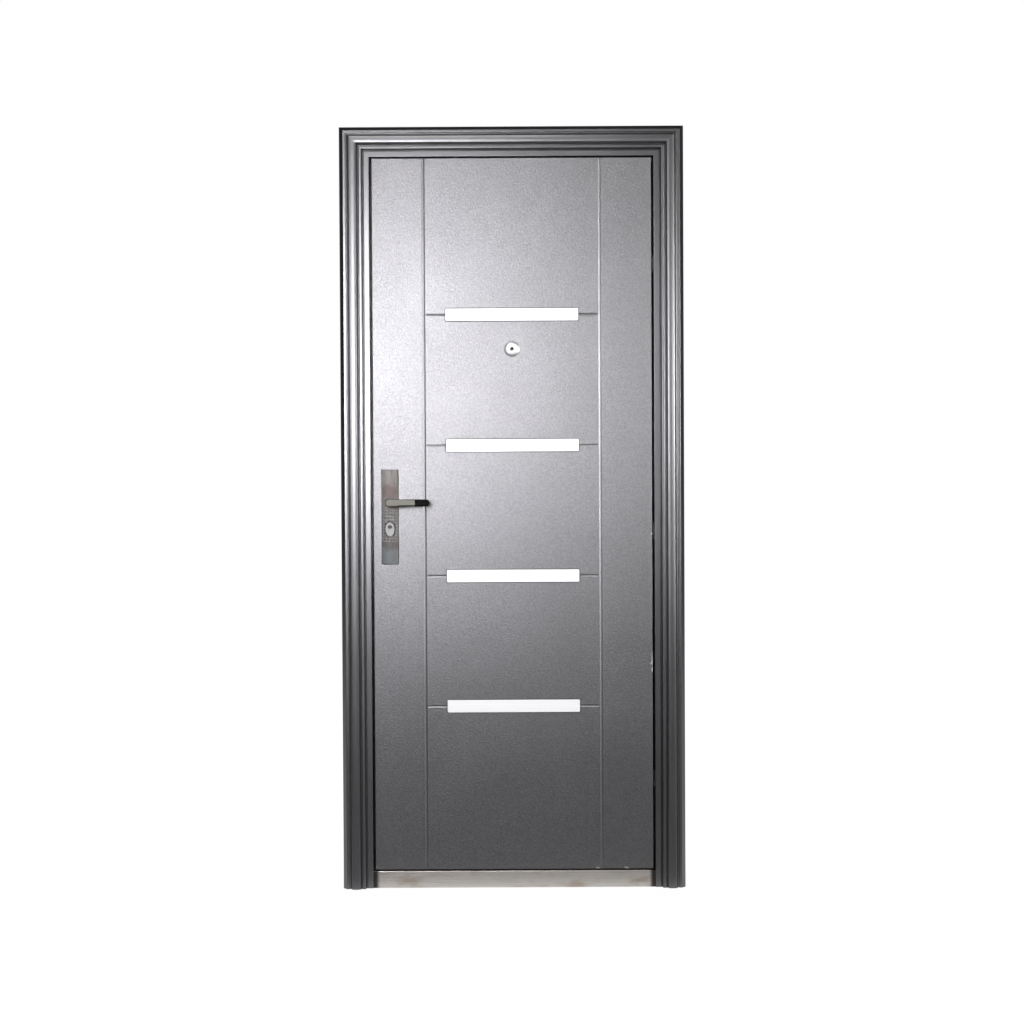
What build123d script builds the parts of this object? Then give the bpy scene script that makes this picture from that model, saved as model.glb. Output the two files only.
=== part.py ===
from build123d import *
import math
import os

# Steel entrance door set: moulded frame, pressed leaf on concealed gooseneck hinges, lever lock and viewer.
# Millimetres. x runs across, y from the outside face (negative) inward, z up from the floor.

# Overall outline
WIDTH = 960.0
HEIGHT = 2130.0
HALF = WIDTH / 2

# Frame section, u from the outer edge toward the doorway, v as depth: (u, v, corner radius)
FRAME_SHEET = 1.5
FACE_WIDTH = 84.0
BAND_FRONT = -9.5
STOP_FRONT = 51.0
STOP_EDGE = 100.0
FRAME_BACK = 78.0
BACK_FLANGE = 62.0
BACK_LIP = 68.0
FRAME_SECTION = [
    (0.0, 0.0, 0.0),
    (0.0, -7.0, 2.0),
    (11.0, -17.0, 2.0),
    (17.0, -17.0, 2.0),
    (21.0, -14.5, 2.0),
    (26.5, -23.0, 5.0),
    (37.0, -25.0, 40.0),
    (47.5, -23.0, 5.0),
    (53.0, -14.5, 1.0),
    (55.0, -18.5, 3.0),
    (63.0, -18.5, 3.0),
    (66.0, -7.5, 1.0),
    (69.0, BAND_FRONT, 2.0),
    (FACE_WIDTH, BAND_FRONT, 2.5),
    (FACE_WIDTH, STOP_FRONT, 0.0),
    (STOP_EDGE, STOP_FRONT, 2.0),
    (STOP_EDGE, FRAME_BACK, 2.0),
    (BACK_FLANGE, FRAME_BACK, 2.0),
    (BACK_FLANGE, BACK_LIP, 0.0),
]
REVEAL_X = HALF - FACE_WIDTH
STOP_X = HALF - STOP_EDGE
HEAD_REVEAL = HEIGHT - FACE_WIDTH
HEAD_STOP = HEIGHT - STOP_EDGE

# Wall fixings through the stop of each jamb
FIXING_BOTTOM = 250.0
FIXING_TOP_INSET = 280.0
FIXING_STEP = (HEIGHT - FIXING_TOP_INSET - FIXING_BOTTOM) / 3
FIXING_Z = [FIXING_BOTTOM + FIXING_STEP * index for index in range(4)]
FIXING_Y = 64.5
FIXING_RADIUS = 7.0

# Threshold
SILL_FRONT = -8.0
SILL_TOP = 48.0
SILL_STOP_TOP = 64.0
SILL_FOOT = 22.0

# Seals on the stop
SEAL_NEAR = 90.0
SEAL_FAR = 98.0
SEAL_HEIGHT = 5.0
SEAL_ROUND = 2.5
SILL_SEAL_LOW = 53.0
SILL_SEAL_HIGH = 61.0

# Leaf
SIDE_GAP = 6.5
END_GAP = 5.0
LEAF_HALF = REVEAL_X - SIDE_GAP
LEAF_LOW = SILL_TOP + END_GAP
LEAF_HIGH = HEAD_REVEAL - END_GAP
LEAF_TALL = LEAF_HIGH - LEAF_LOW
LEAF_FRONT = BAND_FRONT
LEAF_DEPTH = 50.0
LEAF_BACK = LEAF_FRONT + LEAF_DEPTH
LEAF_SEAM = LEAF_FRONT + LEAF_DEPTH / 2
LEAF_SHEET = 1.0
LEAF_EDGE_ROUND = 1.5
GROOVE_INSET = 143.5
GROOVE_X = LEAF_HALF - GROOVE_INSET
GROOVE_TOP = 4.5
GROOVE_FLOOR = 0.8
GROOVE_DEPTH = 1.5
GROOVE_LIP_ROUND = 3.0
GROOVE_FLOOR_ROUND = 2.0
CORE_SETBACK = LEAF_SHEET + GROOVE_DEPTH

# Bright strips in shallow pockets, and the short grooves beside them
STRIP_FIRST_SHARE = 0.2304
STRIP_PITCH_SHARE = 0.1836
STRIP_Z = [LEAF_LOW + LEAF_TALL * (STRIP_FIRST_SHARE + STRIP_PITCH_SHARE * index) for index in range(4)]
STRIP_INSET = 60.5
STRIP_LENGTH = 2 * (GROOVE_X - STRIP_INSET)
STRIP_HEIGHT = 35.0
STRIP_THICK = 2.5
STRIP_BEVEL = 0.8
STRIP_CORNER = 3.0
POCKET_GAP = 2.0
POCKET_DEPTH = 1.5
POCKET_WALL = 1.0
STUB_INSET = 7.0
STUB_END = GROOVE_X - STUB_INSET
STUB_HALF = 3.5
STUB_DEPTH = 1.2

# Door viewer
VIEWER_Z = 1510.0
VIEWER_RADIUS = 22.0
VIEWER_RIM = 1.5
VIEWER_DOME = 6.0
VIEWER_BARREL = 8.0
VIEWER_BORE = 5.5
VIEWER_INNER_RADIUS = 15.0
LENS_HEIGHT = 5.0
LENS_ROUND = 3.0
VIEWER_INNER_THICK = 4.0

# Lock furniture
LOCK_BACKSET = 46.5
LOCK_X = LOCK_BACKSET - LEAF_HALF
LEVER_Z = 1082.0
PLUG_Z = 1014.0
PLATE_WIDTH = 48.0
PLATE_LOW = 910.0
PLATE_HIGH = 1175.0
PLATE_EDGE = 4.0
PLATE_CROWN = 7.0
PLATE_BEVEL = 1.5
NECK_RADIUS = 9.0
NECK_CLEAR = 0.5
SPINDLE_SIDE = 8.0
SPINDLE_BORE = 8.0
SPINDLE_REACH = 32.0
BAR_NEAR = 36.0
BAR_FAR = 48.0
BAR_ROUND = 4.0
HUB_HALF = 11.5
BAR_HALF = 9.5
HUB_LENGTH = 22.0
BAR_START = 32.0
TIP_START = 72.0
LEVER_LENGTH = 112.0
GUARD_WIDTH = 28.0
GUARD_HEIGHT = 43.0
CYLINDER_WIDTH = 23.0
CYLINDER_HEIGHT = 37.0
CYLINDER_Z = 1008.0
GUARD_PROUD = 10.0
CYLINDER_PROUD = 11.0
PLUG_RADIUS = 8.5
PLUG_DEPTH = 6.0
KEYWAY_WIDTH = 2.2
KEYWAY_HEIGHT = 9.0
TURN_NECK_RADIUS = 6.0
TURN_NECK = 10.0
TURN_LENGTH = 30.0
TURN_HEIGHT = 14.0
TURN_THICK = 9.0

# Lock edge of the leaf and the strike in the jamb
FOREND_LOW = 925.0
FOREND_HIGH = 1165.0
FOREND_WIDTH = 24.0
FOREND_NEAR = LEAF_FRONT + (LEAF_DEPTH - FOREND_WIDTH) / 2
FOREND_FAR = FOREND_NEAR + FOREND_WIDTH
FOREND_THICK = 3.0
LATCH_Y = LEAF_FRONT + LEAF_DEPTH / 2
LATCH_THICK = 12.0
LATCH_HEIGHT = 20.0
BOLT_DEPTH = 30.0
BOLT_RADIUS = 7.0
BOLT_Z = (955.0, 985.0, 1015.0)
STRIKE_LOW = 920.0
STRIKE_HIGH = 1170.0
STRIKE_MARGIN = 2.0
STRIKE_NEAR = FOREND_NEAR - STRIKE_MARGIN
STRIKE_FAR = FOREND_FAR + STRIKE_MARGIN
STRIKE_HOLE_EXTRA = 2.0

# Concealed hinges: name, height of the middle
HINGE_LOW_INSET = 247.0
HINGE_MID_INSET = 947.0
HINGE_HIGH_INSET = 291.0
HINGES = (
    ("low", LEAF_LOW + HINGE_LOW_INSET),
    ("mid", LEAF_LOW + HINGE_MID_INSET),
    ("high", LEAF_HIGH - HINGE_HIGH_INSET),
)
PIN_OUT = 32.5
PIN_IN = 6.5
PIN_X = LEAF_HALF + PIN_OUT
PIN_Y = LEAF_FRONT + PIN_IN
PIN_RADIUS = 4.0
PIN_CLEAR = 0.1
KNUCKLE_RADIUS = 6.3
ARM_HALF = 22.0
ARM_THICK = 7.0
ARM_BULGE = 11.5
ARM_SET = 38.0
ARM_LEG_X = PIN_X + ARM_BULGE
ARM_LEG_Y = LEAF_FRONT + ARM_SET
ARM_ROUND = 9.0
FOOT_THICK = 3.0
FOOT_NEAR_SET = 17.5
FOOT_FAR_SET = 47.5
FOOT_NEAR = LEAF_FRONT + FOOT_NEAR_SET
FOOT_FAR = LEAF_FRONT + FOOT_FAR_SET
SLOT_HALF = 27.0
SLOT_SET = 6.0
SLOT_NEAR = LEAF_FRONT + SLOT_SET
SLOT_FAR = LEAF_BACK
LUG_NEAR = 28.0
LUG_FAR = 33.0
LUG_WELD = REVEAL_X + FRAME_SHEET
LUG_FRONT_SET = 3.0
LUG_FRONT = PIN_Y - LUG_FRONT_SET
LUG_BACK_SET = 0.5
LUG_BACK = LEAF_BACK - LUG_BACK_SET
LUG_SHOULDER_SET = 11.0
LUG_SHOULDER = PIN_Y + LUG_SHOULDER_SET
BRACKET_THICK = 4.0
BRACKET_REACH = 32.0
BRACKET_EDGE = PIN_X + BRACKET_REACH
BRACKET_BACK = BRACKET_EDGE - BRACKET_THICK
LUG_OUTLINE = [
    (LUG_WELD, LUG_SHOULDER),
    (PIN_X - KNUCKLE_RADIUS, PIN_Y),
    (PIN_X + KNUCKLE_RADIUS, LUG_FRONT),
    (BRACKET_EDGE, LUG_FRONT),
    (BRACKET_EDGE, LUG_BACK),
    (LUG_WELD, LUG_BACK),
]
PIN_HEAD_RADIUS = 6.0
PIN_HEAD = 3.0
PIN_TAIL = 2.0

# Cutting allowance
OVER = 5.0


def unit(start, end):
    """Unit direction from one point to another."""
    length = math.hypot(end[0] - start[0], end[1] - start[1])
    return ((end[0] - start[0]) / length, (end[1] - start[1]) / length)


def offset_points(points, distance):
    """The bent line moved to its left by the sheet's thickness, each bend keeping its centre."""
    moved = []
    last = len(points) - 1
    for index, (u, v, radius) in enumerate(points):
        before = unit(points[index - 1], points[index]) if index > 0 else None
        after = unit(points[index], points[index + 1]) if index < last else None
        before = before or after
        after = after or before
        normal_before = (-before[1], before[0])
        normal_after = (-after[1], after[0])
        share = 1 + normal_before[0] * normal_after[0] + normal_before[1] * normal_after[1]
        step_u = distance * (normal_before[0] + normal_after[0]) / share
        step_v = distance * (normal_before[1] + normal_after[1]) / share
        turn = before[0] * after[1] - before[1] * after[0]
        grown = radius - distance if turn > 0 else radius + distance
        bend = max(grown, 0.0) if 0 < index < last else 0.0
        moved.append((u + step_u, v + step_v, bend))
    return moved


def bend_arc(before, here, after, radius):
    """Start, middle and end of the round that fits a corner."""
    back = unit(here, before)
    ahead = unit(here, after)
    half = math.acos(max(-1.0, min(1.0, back[0] * ahead[0] + back[1] * ahead[1]))) / 2
    reach = radius / math.tan(half)
    start = (here[0] + back[0] * reach, here[1] + back[1] * reach)
    end = (here[0] + ahead[0] * reach, here[1] + ahead[1] * reach)
    middle = unit((0.0, 0.0), (back[0] + ahead[0], back[1] + ahead[1]))
    inward = radius / math.sin(half) - radius
    return start, (here[0] + middle[0] * inward, here[1] + middle[1] * inward), end


def draw_closed(points):
    """Closed outline of straight runs and rounded corners, drawn in the current line."""
    count = len(points)
    starts = []
    ends = []
    for index, (u, v, radius) in enumerate(points):
        if radius > 0:
            start, middle, end = bend_arc(points[index - 1], points[index], points[(index + 1) % count], radius)
            ThreePointArc(start, middle, end)
        else:
            start = (u, v)
            end = (u, v)
        starts.append(start)
        ends.append(end)
    for index in range(count):
        Line(ends[index], starts[(index + 1) % count])


def draw_sheet(points, thickness):
    """Face of a bent sheet whose outer line is given and whose thickness lies on the left of it."""
    inner = offset_points(points, thickness)
    with BuildLine() as outline:
        draw_closed(points + inner[::-1])
    make_face(outline.edges())


def box_between(low, high, mode=Mode.ADD):
    """Box from its lowest to its highest corner."""
    size = [high[axis] - low[axis] for axis in range(3)]
    middle = [(high[axis] + low[axis]) / 2 for axis in range(3)]
    with Locations(tuple(middle)):
        Box(*size, mode=mode)


def bar_along_y(x, z, radius, low, high, mode=Mode.ADD):
    """Round bar along y."""
    with Locations((x, (low + high) / 2, z)):
        Cylinder(radius, high - low, rotation=(90, 0, 0), mode=mode)


def oval_along_y(x, z, width, height, low, high, mode=Mode.ADD):
    """Upright oval bar along y."""
    with BuildSketch(Plane((x, low, z), x_dir=(1, 0, 0), z_dir=(0, 1, 0))) as oval:
        SlotOverall(height, width, rotation=90)
    extrude(oval.sketch, amount=high - low, mode=mode)


def jamb_blank():
    """Left jamb with its mitred top."""
    with BuildPart() as blank:
        with BuildSketch(Plane((-HALF, 0, 0), x_dir=(1, 0, 0), z_dir=(0, 0, 1))):
            draw_sheet(FRAME_SECTION, FRAME_SHEET)
        extrude(amount=HEIGHT + OVER)
        split(bisect_by=Plane((-HALF, 0, HEIGHT), z_dir=(1, 0, 1)), keep=Keep.BOTTOM)
        for z in FIXING_Z:
            with Locations((-STOP_X, FIXING_Y, z)):
                Cylinder(FIXING_RADIUS, 2 * OVER, rotation=(0, 90, 0), mode=Mode.SUBTRACT)
    return blank.part


def leaf_holes():
    """Holes through the leaf for the spindle, the lock cylinder and the viewer."""
    bar_along_y(LOCK_X, LEVER_Z, SPINDLE_BORE, LEAF_FRONT - OVER, LEAF_BACK + OVER, Mode.SUBTRACT)
    oval_along_y(LOCK_X, CYLINDER_Z, CYLINDER_WIDTH, CYLINDER_HEIGHT,
                 LEAF_FRONT - OVER, LEAF_BACK + OVER, Mode.SUBTRACT)
    bar_along_y(0, VIEWER_Z, VIEWER_BARREL, LEAF_FRONT - OVER, LEAF_BACK + OVER, Mode.SUBTRACT)


def groove_points(x, front, inward):
    """Corners of a pressed groove in a skin."""
    floor = front + inward * GROOVE_DEPTH
    return [
        (x - GROOVE_TOP, front, GROOVE_LIP_ROUND),
        (x - GROOVE_FLOOR, floor, GROOVE_FLOOR_ROUND),
        (x + GROOVE_FLOOR, floor, GROOVE_FLOOR_ROUND),
        (x + GROOVE_TOP, front, GROOVE_LIP_ROUND),
    ]


def pan(front, inward):
    """Pressed pan: face with two upright grooves, side returns and closed ends."""
    outline = [(-LEAF_HALF, LEAF_SEAM, 0.0), (-LEAF_HALF, front, LEAF_EDGE_ROUND)]
    outline += groove_points(-GROOVE_X, front, inward) + groove_points(GROOVE_X, front, inward)
    outline += [(LEAF_HALF, front, LEAF_EDGE_ROUND), (LEAF_HALF, LEAF_SEAM, 0.0)]
    sheet = outline if inward > 0 else outline[::-1]
    with BuildSketch(Plane.XY.offset(LEAF_LOW)) as section:
        draw_sheet(sheet, LEAF_SHEET)
    extrude(section.sketch, amount=LEAF_HIGH - LEAF_LOW)
    for low in (LEAF_LOW, LEAF_HIGH - LEAF_SHEET):
        with BuildSketch(Plane.XY.offset(low)) as end_cap:
            with BuildLine() as outline_line:
                draw_closed(sheet)
            make_face(outline_line.edges())
        extrude(end_cap.sketch, amount=LEAF_SHEET)
    box_between((-LEAF_HALF - OVER, FOREND_NEAR, FOREND_LOW),
                (-LEAF_HALF + FOREND_THICK, FOREND_FAR, FOREND_HIGH), Mode.SUBTRACT)


def plate(face, outward):
    """Crowned lock plate with the openings for the lever neck and the cylinder."""
    half = PLATE_WIDTH / 2
    with BuildSketch(Plane((LOCK_X, face, PLATE_LOW), x_dir=(1, 0, 0), z_dir=(0, 0, 1))) as section:
        with BuildLine():
            Line((-half, 0), (half, 0))
            Line((half, 0), (half, outward * PLATE_EDGE))
            ThreePointArc((half, outward * PLATE_EDGE), (0, outward * PLATE_CROWN), (-half, outward * PLATE_EDGE))
            Line((-half, outward * PLATE_EDGE), (-half, 0))
        make_face()
    body = extrude(section.sketch, amount=PLATE_HIGH - PLATE_LOW)
    crown = body.faces().filter_by(GeomType.CYLINDER)
    chamfer(crown.edges(), PLATE_BEVEL)
    low, high = sorted((face - outward * OVER, face + outward * (PLATE_CROWN + OVER)))
    bar_along_y(LOCK_X, LEVER_Z, NECK_RADIUS + NECK_CLEAR, low, high, Mode.SUBTRACT)


def lever(face, outward):
    """Lever handle: round neck and flattened bar, bored square for the spindle."""
    near = face + outward * BAR_NEAR
    with BuildSketch(Plane((LOCK_X, near, LEVER_Z), x_dir=(1, 0, 0), z_dir=(0, outward, 0))) as outline:
        with BuildLine():
            Polyline((0, HUB_HALF), (HUB_LENGTH, HUB_HALF), (BAR_START, BAR_HALF),
                     (LEVER_LENGTH - BAR_HALF, BAR_HALF))
            ThreePointArc((LEVER_LENGTH - BAR_HALF, BAR_HALF), (LEVER_LENGTH, 0),
                          (LEVER_LENGTH - BAR_HALF, -BAR_HALF))
            Polyline((LEVER_LENGTH - BAR_HALF, -BAR_HALF), (BAR_START, -BAR_HALF),
                     (HUB_LENGTH, -HUB_HALF), (0, -HUB_HALF))
            ThreePointArc((0, -HUB_HALF), (-HUB_HALF, 0), (0, HUB_HALF))
        make_face()
    bar = extrude(outline.sketch, amount=BAR_FAR - BAR_NEAR)
    ends = bar.faces().filter_by(Axis.Y)
    fillet(ends.edges(), BAR_ROUND)
    low, high = sorted((face + outward * PLATE_EDGE, near + outward * OVER))
    bar_along_y(LOCK_X, LEVER_Z, NECK_RADIUS, low, high)
    half = SPINDLE_SIDE / 2
    low, high = sorted((face - outward * OVER, face + outward * SPINDLE_REACH))
    box_between((LOCK_X - half, low, LEVER_Z - half), (LOCK_X + half, high, LEVER_Z + half), Mode.SUBTRACT)


parts = {}

# Frame members
lock_blank = jamb_blank()
with BuildPart() as lock_jamb:
    add(lock_blank)
    box_between((-REVEAL_X - OVER, STRIKE_NEAR, STRIKE_LOW), (-REVEAL_X + OVER, STRIKE_FAR, STRIKE_HIGH),
                Mode.SUBTRACT)
parts["lock_jamb"] = lock_jamb.part

with BuildPart() as hinge_jamb:
    add(mirror(lock_blank, about=Plane.YZ))
    for name, z in HINGES:
        box_between((REVEAL_X - OVER, SLOT_NEAR, z - SLOT_HALF), (REVEAL_X + OVER, SLOT_FAR, z + SLOT_HALF),
                    Mode.SUBTRACT)
parts["hinge_jamb"] = hinge_jamb.part

with BuildPart() as head:
    with BuildSketch(Plane((-HALF, 0, HEIGHT), x_dir=(0, 0, -1), z_dir=(1, 0, 0))):
        draw_sheet(FRAME_SECTION, FRAME_SHEET)
    extrude(amount=WIDTH)
    split(bisect_by=Plane((-HALF, 0, HEIGHT), z_dir=(1, 0, 1)), keep=Keep.TOP)
    split(bisect_by=Plane((HALF, 0, HEIGHT), z_dir=(-1, 0, 1)), keep=Keep.TOP)
parts["head"] = head.part

# Threshold of bent sheet, notched round the jamb stops
SILL_SECTION = [
    (FRAME_BACK - SILL_FOOT, 0.0, 0.0),
    (FRAME_BACK, 0.0, 2.0),
    (FRAME_BACK, SILL_STOP_TOP, 2.0),
    (STOP_FRONT, SILL_STOP_TOP, 2.0),
    (STOP_FRONT, SILL_TOP, 0.0),
    (SILL_FRONT, SILL_TOP, 2.5),
    (SILL_FRONT, 0.0, 2.0),
    (SILL_FRONT + SILL_FOOT, 0.0, 0.0),
]
with BuildPart() as threshold:
    with BuildSketch(Plane((-REVEAL_X, 0, 0), x_dir=(0, 1, 0), z_dir=(1, 0, 0))):
        draw_sheet(SILL_SECTION, FRAME_SHEET)
    extrude(amount=2 * REVEAL_X)
    for side in (-1, 1):
        low_x, high_x = sorted((side * STOP_X, side * (REVEAL_X + OVER)))
        box_between((low_x, STOP_FRONT, -OVER), (high_x, FRAME_BACK + OVER, SILL_STOP_TOP + OVER), Mode.SUBTRACT)
parts["threshold"] = threshold.part

# Seals
SEAL_OUT = HALF - SEAL_NEAR
SEAL_IN = HALF - SEAL_FAR
HEAD_SEAL_HIGH = HEIGHT - SEAL_NEAR
HEAD_SEAL_LOW = HEIGHT - SEAL_FAR
SEAL_BOXES = {
    "seal_lock_side": ((-SEAL_OUT, SILL_TOP), (-SEAL_IN, HEAD_SEAL_LOW)),
    "seal_hinge_side": ((SEAL_IN, SILL_TOP), (SEAL_OUT, HEAD_SEAL_LOW)),
    "seal_head": ((-SEAL_OUT, HEAD_SEAL_LOW), (SEAL_OUT, HEAD_SEAL_HIGH)),
    "seal_threshold": ((-STOP_X, SILL_SEAL_LOW), (STOP_X, SILL_SEAL_HIGH)),
}
for name, (low, high) in SEAL_BOXES.items():
    with BuildPart() as seal:
        box_between((low[0], STOP_FRONT - SEAL_HEIGHT, low[1]), (high[0], STOP_FRONT, high[1]))
        run = Axis.X if high[0] - low[0] > high[1] - low[1] else Axis.Z
        front = seal.faces().sort_by(Axis.Y)[0]
        fillet(front.edges().filter_by(run), SEAL_ROUND)
    parts[name] = seal.part

# Strike plate set in the lock jamb
LATCH_ROOM = STRIKE_HOLE_EXTRA
with BuildPart() as strike_plate:
    box_between((-REVEAL_X - FRAME_SHEET, STRIKE_NEAR, STRIKE_LOW), (-REVEAL_X, STRIKE_FAR, STRIKE_HIGH))
    box_between((-REVEAL_X - OVER, LATCH_Y - LATCH_THICK / 2 - LATCH_ROOM, LEVER_Z - LATCH_HEIGHT / 2 - LATCH_ROOM),
                (-REVEAL_X + OVER, LATCH_Y + LATCH_THICK / 2 + LATCH_ROOM, LEVER_Z + LATCH_HEIGHT / 2 + LATCH_ROOM),
                Mode.SUBTRACT)
    for z in BOLT_Z:
        with Locations((-REVEAL_X, LATCH_Y, z)):
            Cylinder(BOLT_RADIUS + STRIKE_HOLE_EXTRA, 2 * OVER, rotation=(0, 90, 0), mode=Mode.SUBTRACT)
parts["strike_plate"] = strike_plate.part

# Leaf skins and core
with BuildPart() as leaf_front_skin:
    pan(LEAF_FRONT, 1)
    pocket_x = STRIP_LENGTH / 2 + POCKET_GAP
    pocket_z = STRIP_HEIGHT / 2 + POCKET_GAP
    pocket_floor = LEAF_FRONT + POCKET_DEPTH
    for z in STRIP_Z:
        box_between((-pocket_x - POCKET_WALL, LEAF_FRONT + LEAF_SHEET, z - pocket_z - POCKET_WALL),
                    (pocket_x + POCKET_WALL, pocket_floor + LEAF_SHEET, z + pocket_z + POCKET_WALL))
        for side in (-1, 1):
            start = min(side * pocket_x, side * STUB_END)
            with BuildSketch(Plane((start, LEAF_FRONT, z), x_dir=(0, 1, 0), z_dir=(1, 0, 0))):
                Polygon((LEAF_SHEET, STUB_HALF + LEAF_SHEET), (LEAF_SHEET, -STUB_HALF - LEAF_SHEET),
                        (STUB_DEPTH + LEAF_SHEET, -POCKET_WALL), (STUB_DEPTH + LEAF_SHEET, POCKET_WALL),
                        align=None)
            extrude(amount=STUB_END - pocket_x)
    for z in STRIP_Z:
        box_between((-pocket_x, LEAF_FRONT - OVER, z - pocket_z), (pocket_x, pocket_floor, z + pocket_z),
                    Mode.SUBTRACT)
        for side in (-1, 1):
            start = min(side * pocket_x, side * STUB_END)
            with BuildSketch(Plane((start, LEAF_FRONT, z), x_dir=(0, 1, 0), z_dir=(1, 0, 0))):
                Polygon((0, STUB_HALF), (0, -STUB_HALF), (STUB_DEPTH, -POCKET_WALL / 2),
                        (STUB_DEPTH, POCKET_WALL / 2), align=None)
            extrude(amount=STUB_END - pocket_x, mode=Mode.SUBTRACT)
    leaf_holes()
parts["leaf_front_skin"] = leaf_front_skin.part

with BuildPart() as leaf_back_skin:
    pan(LEAF_BACK, -1)
    leaf_holes()
parts["leaf_back_skin"] = leaf_back_skin.part

CORE_HALF = LEAF_HALF - LEAF_SHEET
with BuildPart() as leaf_core:
    box_between((-CORE_HALF, LEAF_FRONT + CORE_SETBACK, LEAF_LOW + LEAF_SHEET),
                (CORE_HALF, LEAF_BACK - CORE_SETBACK, LEAF_HIGH - LEAF_SHEET))
    leaf_holes()
    box_between((-LEAF_HALF - OVER, FOREND_NEAR, FOREND_LOW),
                (-LEAF_HALF + FOREND_THICK, FOREND_FAR, FOREND_HIGH), Mode.SUBTRACT)
    box_between((-LEAF_HALF - OVER, LATCH_Y - LATCH_THICK / 2, LEVER_Z - LATCH_HEIGHT / 2),
                (-LEAF_HALF + BOLT_DEPTH, LATCH_Y + LATCH_THICK / 2, LEVER_Z + LATCH_HEIGHT / 2), Mode.SUBTRACT)
    for z in BOLT_Z:
        with Locations((-LEAF_HALF, LATCH_Y, z)):
            Cylinder(BOLT_RADIUS, 2 * BOLT_DEPTH, rotation=(0, 90, 0), mode=Mode.SUBTRACT)
parts["leaf_core"] = leaf_core.part

# Bright strips
for index, z in enumerate(STRIP_Z):
    with BuildPart() as strip:
        with BuildSketch(Plane((0, LEAF_FRONT + POCKET_DEPTH, z), x_dir=(1, 0, 0), z_dir=(0, -1, 0))):
            RectangleRounded(STRIP_LENGTH, STRIP_HEIGHT, STRIP_CORNER)
        extrude(amount=STRIP_THICK)
        chamfer(strip.faces().sort_by(Axis.Y)[0].edges(), STRIP_BEVEL)
    parts[f"trim_strip_{index + 1}"] = strip.part

# Door viewer: domed bezel, lens, barrel and inner ring
with BuildPart() as viewer_bezel:
    with BuildSketch(Plane((0, LEAF_FRONT, VIEWER_Z), x_dir=(1, 0, 0), z_dir=(0, 0, 1))):
        with BuildLine():
            Polyline((VIEWER_BORE, 0), (VIEWER_RADIUS, 0), (VIEWER_RADIUS, -VIEWER_RIM))
            ThreePointArc((VIEWER_RADIUS, -VIEWER_RIM), (VIEWER_RADIUS * 0.72, -VIEWER_DOME * 0.78),
                          (VIEWER_BORE, -VIEWER_DOME))
            Line((VIEWER_BORE, -VIEWER_DOME), (VIEWER_BORE, 0))
        make_face()
    revolve(axis=Axis((0, 0, VIEWER_Z), (0, 1, 0)))
parts["viewer_bezel"] = viewer_bezel.part

with BuildPart() as viewer_lens:
    bar_along_y(0, VIEWER_Z, VIEWER_BORE, LEAF_FRONT - LENS_HEIGHT, LEAF_FRONT)
    lens_front = viewer_lens.faces().sort_by(Axis.Y)[0]
    fillet(lens_front.edges(), LENS_ROUND)
parts["viewer_lens"] = viewer_lens.part

with BuildPart() as viewer_barrel:
    bar_along_y(0, VIEWER_Z, VIEWER_BARREL, LEAF_FRONT, LEAF_BACK)
    bar_along_y(0, VIEWER_Z, VIEWER_BORE, LEAF_FRONT - OVER, LEAF_BACK + OVER, Mode.SUBTRACT)
parts["viewer_barrel"] = viewer_barrel.part

with BuildPart() as viewer_inner_ring:
    bar_along_y(0, VIEWER_Z, VIEWER_INNER_RADIUS, LEAF_BACK, LEAF_BACK + VIEWER_INNER_THICK)
    outer_face = viewer_inner_ring.faces().sort_by(Axis.Y)[-1]
    fillet(outer_face.edges(), VIEWER_RIM)
    bar_along_y(0, VIEWER_Z, VIEWER_BORE, LEAF_BACK - OVER, LEAF_BACK + OVER, Mode.SUBTRACT)
parts["viewer_inner_ring"] = viewer_inner_ring.part

# Lock edge: forend plate and the drawn-back bolts behind it
with BuildPart() as lock_forend:
    box_between((-LEAF_HALF, FOREND_NEAR, FOREND_LOW), (-LEAF_HALF + FOREND_THICK, FOREND_FAR, FOREND_HIGH))
    box_between((-LEAF_HALF - OVER, LATCH_Y - LATCH_THICK / 2, LEVER_Z - LATCH_HEIGHT / 2),
                (-LEAF_HALF + OVER, LATCH_Y + LATCH_THICK / 2, LEVER_Z + LATCH_HEIGHT / 2), Mode.SUBTRACT)
    for z in BOLT_Z:
        with Locations((-LEAF_HALF, LATCH_Y, z)):
            Cylinder(BOLT_RADIUS, 2 * OVER, rotation=(0, 90, 0), mode=Mode.SUBTRACT)
parts["lock_forend"] = lock_forend.part

with BuildPart() as latch_bolt:
    box_between((-LEAF_HALF, LATCH_Y - LATCH_THICK / 2, LEVER_Z - LATCH_HEIGHT / 2),
                (-LEAF_HALF + BOLT_DEPTH, LATCH_Y + LATCH_THICK / 2, LEVER_Z + LATCH_HEIGHT / 2))
parts["latch_bolt"] = latch_bolt.part

with BuildPart() as dead_bolts:
    for z in BOLT_Z:
        with Locations((-LEAF_HALF + BOLT_DEPTH / 2, LATCH_Y, z)):
            Cylinder(BOLT_RADIUS, BOLT_DEPTH, rotation=(0, 90, 0))
parts["dead_bolts"] = dead_bolts.part

# Lock plates, cylinder with its guard, key plug and thumb turn
with BuildPart() as outer_escutcheon:
    plate(LEAF_FRONT, -1)
    oval_along_y(LOCK_X, CYLINDER_Z, GUARD_WIDTH, GUARD_HEIGHT, LEAF_FRONT - PLATE_CROWN - OVER,
                 LEAF_FRONT + OVER, Mode.SUBTRACT)
parts["outer_escutcheon"] = outer_escutcheon.part

with BuildPart() as inner_escutcheon:
    plate(LEAF_BACK, 1)
    oval_along_y(LOCK_X, CYLINDER_Z, CYLINDER_WIDTH, CYLINDER_HEIGHT, LEAF_BACK - OVER,
                 LEAF_BACK + PLATE_CROWN + OVER, Mode.SUBTRACT)
parts["inner_escutcheon"] = inner_escutcheon.part

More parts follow.
